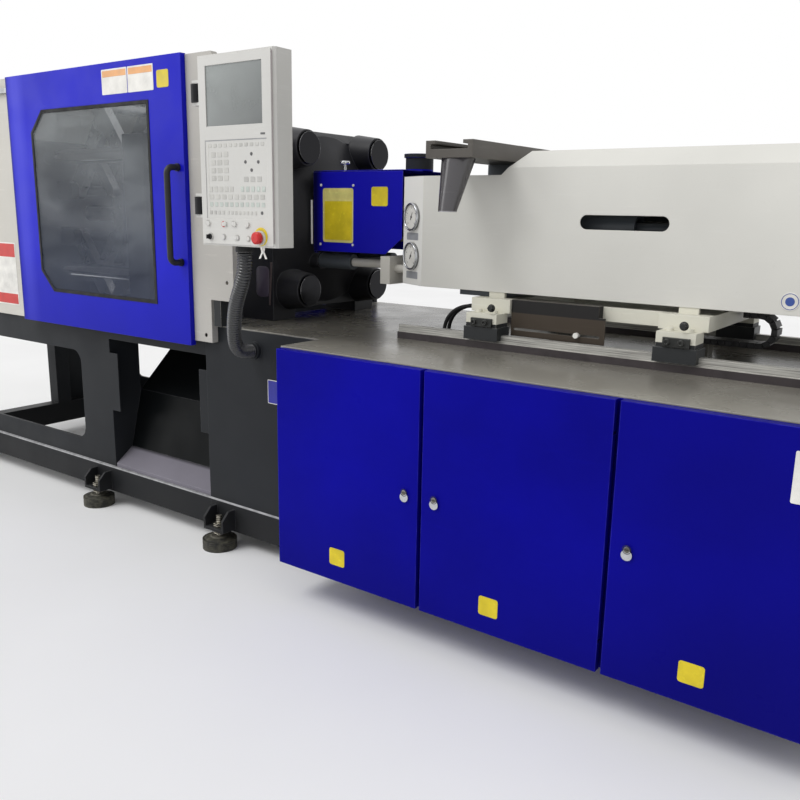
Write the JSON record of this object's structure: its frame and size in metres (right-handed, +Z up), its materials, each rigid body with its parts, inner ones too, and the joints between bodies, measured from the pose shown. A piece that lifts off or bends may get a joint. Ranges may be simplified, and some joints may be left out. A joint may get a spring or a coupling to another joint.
{
  "type": "injection moulding machine",
  "caption": "Horizontal toggle injection moulding machine with sliding guard, control panel, nozzle hood, covered injection unit and switch cabinet",
  "frame": {"origin": "middle of the footprint, on the floor", "axes": "X along the machine from the clamp to the injection end, Y across it away from the operator, Z up"},
  "size_m": [4.99, 1.482, 1.94],
  "materials": {
    "bed_paint": "satin dark grey paint",
    "chute_paint": "worn violet-grey paint",
    "top_paint": "grey paint",
    "foot_rubber": "ribbed black rubber pads on steel bolts",
    "cabinet_blue": "orange-peel blue paint",
    "guard_blue": "orange-peel blue paint",
    "chrome_parts": "bright plated steel",
    "drive_paint": "dark machine paint",
    "casting_paint": "painted casting",
    "link_steel": "ground steel",
    "cream_paint": "cream textured paint",
    "cover_white": "off-white textured paint",
    "black_rubber": "black rubber",
    "guard_pane": "clear safety pane",
    "black_plastic": "black plastic",
    "panel_grey": "light grey textured paint",
    "screen_face": "dull grey screen",
    "red_plastic": "red plastic",
    "carriage_paint": "blue-grey paint",
    "band_brass": "heat-stained sheet",
    "gauge_face": "white dial in a dark rim",
    "plate_paint": "brown-grey plate",
    "white_plastic": "white plastic",
    "hose_plastic": "corrugated black plastic"
  },
  "bodies": {
    "machine_frame": {"clamp_bed": "bed_paint", "discharge_chute": "chute_paint", "injection_bed": "bed_paint", "bed_top_plate": "top_paint", "levelling_feet": "foot_rubber", "cabinet": "cabinet_blue", "pump_unit": "drive_paint", "fixed_platen": "casting_paint", "tie_bars": "chrome_parts", "clamp_cover": "cream_paint", "guard_rails": "link_steel", "guard_posts": "cream_paint", "controller_hinges": "black_plastic", "unit_rails": "link_steel", "seat_cylinders": "drive_paint", "nozzle_hood": "guard_blue", "cable_chain": "black_plastic", "controller_hose": "hose_plastic", "unit_hoses": "black_rubber"},
    "door_1": {"cabinet_door_1": "cabinet_blue"},
    "door_2": {"cabinet_door_2": "cabinet_blue"},
    "door_3": {"cabinet_door_3": "cabinet_blue"},
    "lock_1": {"door_lock_1": "chrome_parts"},
    "lock_2": {"door_lock_2": "chrome_parts"},
    "lock_3": {"door_lock_3": "chrome_parts"},
    "clamp_tail": {"tail_platen": "casting_paint"},
    "upper_rear_arm": {"upper_rear_link": "link_steel"},
    "upper_front_arm": {"upper_front_link": "link_steel"},
    "upper_crank": {"upper_crank_link": "link_steel"},
    "lower_rear_arm": {"lower_rear_link": "link_steel"},
    "lower_front_arm": {"lower_front_link": "link_steel"},
    "lower_crank": {"lower_crank_link": "link_steel"},
    "crosshead_rod": {"crosshead": "link_steel"},
    "mould_platen": {"moving_platen": "casting_paint"},
    "ejector_unit": {"ejector": "link_steel"},
    "front_door": {"front_guard": "guard_blue", "window_gasket": "black_rubber", "guard_window": "guard_pane", "guard_handle": "black_plastic"},
    "rear_door": {"rear_guard": "guard_blue"},
    "control_panel": {"controller_case": "panel_grey", "screen": "screen_face"},
    "red_button": {"stop_button": "red_plastic"},
    "key": {"key_switch": "black_plastic"},
    "hood_door": {"nozzle_guard": "guard_blue"},
    "injection_unit": {"carriages": "carriage_paint", "unit_base": "cream_paint", "feed_housing": "drive_paint", "barrel": "link_steel", "heater_bands": "band_brass", "seat_plate": "cream_paint", "injection_cover": "cover_white", "pressure_gauges": "gauge_face", "hopper_slide_base": "drive_paint", "discharge_tube": "drive_paint", "limit_plate": "plate_paint"},
    "shot_plate": {"injection_plate": "drive_paint"},
    "screw_shaft": {"screw": "link_steel"},
    "hopper_plate": {"hopper_slide": "link_steel"},
    "travel_stop": {"limit_stop": "white_plastic"}
  },
  "joints": [
    {"name": "door_1_swing", "type": "hinge", "parent": "machine_frame", "child": "door_1", "pos_m": [0.596, -0.6525, 0.531], "axis": [0, 0, 1], "range_deg": [-100, 0]},
    {"name": "door_1_lock_turn", "type": "hinge", "parent": "door_1", "child": "lock_1", "pos_m": [1.126, -0.665, 0.509], "axis": [0, 1, 0], "range_deg": [0, 90]},
    {"name": "door_2_swing", "type": "hinge", "parent": "machine_frame", "child": "door_2", "pos_m": [1.767, -0.6525, 0.531], "axis": [0, 0, 1], "range_deg": [0, 100]},
    {"name": "door_2_lock_turn", "type": "hinge", "parent": "door_2", "child": "lock_2", "pos_m": [1.237, -0.665, 0.509], "axis": [0, 1, 0], "range_deg": [-90, 0]},
    {"name": "door_3_swing", "type": "hinge", "parent": "machine_frame", "child": "door_3", "pos_m": [2.372, -0.6525, 0.531], "axis": [0, 0, 1], "range_deg": [0, 100]},
    {"name": "door_3_lock_turn", "type": "hinge", "parent": "door_3", "child": "lock_3", "pos_m": [1.842, -0.665, 0.509], "axis": [0, 1, 0], "range_deg": [-90, 0]},
    {"name": "die_height_slide", "type": "slide", "parent": "machine_frame", "child": "clamp_tail", "axis": [1, 0, 0], "range_m": [-0.1, 0.1]},
    {"name": "toggle_fold", "type": "hinge", "parent": "clamp_tail", "child": "upper_rear_arm", "pos_m": [-1.51902, 0.135, 1.45], "axis": [0, 1, 0], "range_deg": [0, 50.2]},
    {"name": "upper_knee_fold", "type": "hinge", "parent": "upper_rear_arm", "child": "upper_front_arm", "pos_m": [-1.21951, 0.135, 1.85037], "axis": [0, 1, 0], "range_deg": [-100.4, 0]},
    {"name": "platen_carry", "type": "hinge", "parent": "upper_front_arm", "child": "mould_platen", "pos_m": [-0.92, 0.135, 1.45], "axis": [0, 1, 0], "range_deg": [0, 50.2]},
    {"name": "upper_crank_fold", "type": "hinge", "parent": "upper_rear_arm", "child": "upper_crank", "pos_m": [-1.39922, 0.135, 1.61015], "axis": [0, 1, 0], "range_deg": [-100.4, 0]},
    {"name": "crosshead_carry", "type": "hinge", "parent": "upper_crank", "child": "crosshead_rod", "pos_m": [-1.27941, 0.135, 1.45], "axis": [0, 1, 0], "range_deg": [0, 50.2]},
    {"name": "lower_toggle_fold", "type": "hinge", "parent": "clamp_tail", "child": "lower_rear_arm", "pos_m": [-1.51902, 0.135, 1.21], "axis": [0, 1, 0], "range_deg": [-50.2, 0]},
    {"name": "lower_knee_fold", "type": "hinge", "parent": "lower_rear_arm", "child": "lower_front_arm", "pos_m": [-1.21951, 0.135, 0.80963], "axis": [0, 1, 0], "range_deg": [0, 100.4]},
    {"name": "lower_crank_fold", "type": "hinge", "parent": "lower_rear_arm", "child": "lower_crank", "pos_m": [-1.39922, 0.135, 1.04985], "axis": [0, 1, 0], "range_deg": [0, 100.4]},
    {"name": "ejector_slide", "type": "slide", "parent": "mould_platen", "child": "ejector_unit", "axis": [1, 0, 0], "range_m": [0, 0.09]},
    {"name": "front_guard_slide", "type": "slide", "parent": "machine_frame", "child": "front_door", "axis": [1, 0, 0], "range_m": [-0.62, 0]},
    {"name": "rear_guard_slide", "type": "slide", "parent": "machine_frame", "child": "rear_door", "axis": [1, 0, 0], "range_m": [-0.62, 0]},
    {"name": "control_panel_swing", "type": "hinge", "parent": "machine_frame", "child": "control_panel", "pos_m": [0.224, -0.66, 1.5555], "axis": [0, 0, 1], "range_deg": [-35, 0], "deforming": ["controller_hose"]},
    {"name": "stop_button_press", "type": "slide", "parent": "control_panel", "child": "red_button", "axis": [0, 1, 0], "range_m": [0, 0.004], "stiffness_N_per_m": 1500},
    {"name": "key_turn", "type": "hinge", "parent": "control_panel", "child": "key", "pos_m": [0.3, -0.685, 1.277], "axis": [0, 1, 0], "range_deg": [0, 90]},
    {"name": "hood_door_swing", "type": "hinge", "parent": "machine_frame", "child": "hood_door", "pos_m": [0.223, -0.056, 1.367], "axis": [0, 0, 1], "range_deg": [-85, 0]},
    {"name": "unit_slide", "type": "slide", "parent": "machine_frame", "child": "injection_unit", "axis": [1, 0, 0], "range_m": [-0.15, 0], "deforming": ["unit_hoses", "cable_chain"]},
    {"name": "injection_slide", "type": "slide", "parent": "injection_unit", "child": "shot_plate", "axis": [1, 0, 0], "range_m": [0, 0.11]},
    {"name": "screw_spin", "type": "hinge", "parent": "shot_plate", "child": "screw_shaft", "pos_m": [1.69, 0.135, 1.33], "axis": [1, 0, 0], "continuous": true},
    {"name": "hopper_slide_move", "type": "slide", "parent": "injection_unit", "child": "hopper_plate", "axis": [0, 1, 0], "range_m": [-0.435, 0]},
    {"name": "travel_stop_slide", "type": "slide", "parent": "injection_unit", "child": "travel_stop", "axis": [1, 0, 0], "range_m": [-0.221, 0.067]}
  ],
  "couplings": [
    {"joint": "upper_knee_fold", "follows": "toggle_fold", "ratio": -2},
    {"joint": "platen_carry", "follows": "toggle_fold", "ratio": 1},
    {"joint": "upper_crank_fold", "follows": "toggle_fold", "ratio": -2},
    {"joint": "crosshead_carry", "follows": "toggle_fold", "ratio": 1},
    {"joint": "lower_toggle_fold", "follows": "toggle_fold", "ratio": -1},
    {"joint": "lower_knee_fold", "follows": "toggle_fold", "ratio": 2},
    {"joint": "lower_crank_fold", "follows": "toggle_fold", "ratio": 2}
  ]
}
